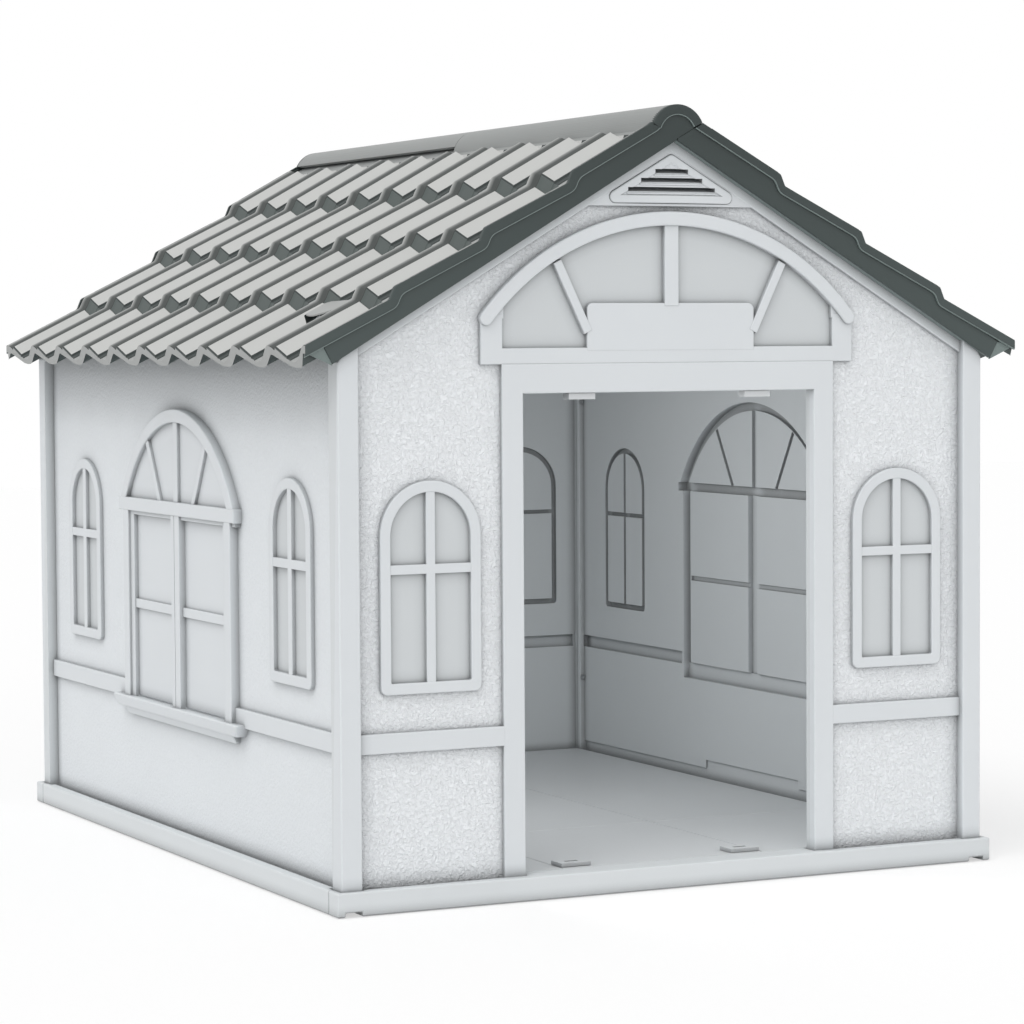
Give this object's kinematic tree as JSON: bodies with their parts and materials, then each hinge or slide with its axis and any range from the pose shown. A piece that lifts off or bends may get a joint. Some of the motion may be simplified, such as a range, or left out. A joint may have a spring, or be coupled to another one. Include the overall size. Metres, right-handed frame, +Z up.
{
  "type": "dog house",
  "caption": "Moulded plastic dog house with an open doorway, relief windows, gable vents and a tiled gable roof that lifts off.",
  "frame": {"origin": "on the ground under the middle of the house", "axes": "+Z up, the doorway faces -Y, +X to the right as seen from the front"},
  "size_m": [0.66, 0.753, 0.6414],
  "materials": {
    "base": "smooth pale grey moulding",
    "floor": "smooth pale grey moulding",
    "wall": "orange-peel stucco with smooth trim",
    "vent": "smooth pale grey moulding",
    "socket": "smooth pale grey moulding",
    "screw": "plain zinc-plated screw",
    "roof": "pale grey tiles fading to slate green at ribs, rows and boards"
  },
  "bodies": {
    "house": {"base_rail_front": "base", "base_rail_rear": "base", "base_rail_left": "base", "base_rail_right": "base", "floor_front_left": "floor", "floor_front_middle": "floor", "floor_front_right": "floor", "floor_rear_left": "floor", "floor_rear_middle": "floor", "floor_rear_right": "floor", "wall_front": "wall", "wall_rear": "wall", "wall_left": "wall", "wall_right": "wall", "gable_vent_front": "vent", "gable_vent_rear": "vent", "floor_socket_left": "socket", "floor_socket_right": "socket", "lintel_socket_left": "socket", "lintel_socket_right": "socket", "corner_screw_front_left_1": "screw", "corner_screw_front_left_2": "screw", "corner_screw_front_right_1": "screw", "corner_screw_front_right_2": "screw", "corner_screw_rear_left_1": "screw", "corner_screw_rear_left_2": "screw", "corner_screw_rear_right_1": "screw", "corner_screw_rear_right_2": "screw"},
    "roof": {"roof_left": "roof", "roof_right": "roof"}
  },
  "joints": [
    {"name": "roof_lift", "type": "slide", "parent": "house", "child": "roof", "axis": [0, 0, 1], "range_m": [0, 0.25]}
  ]
}
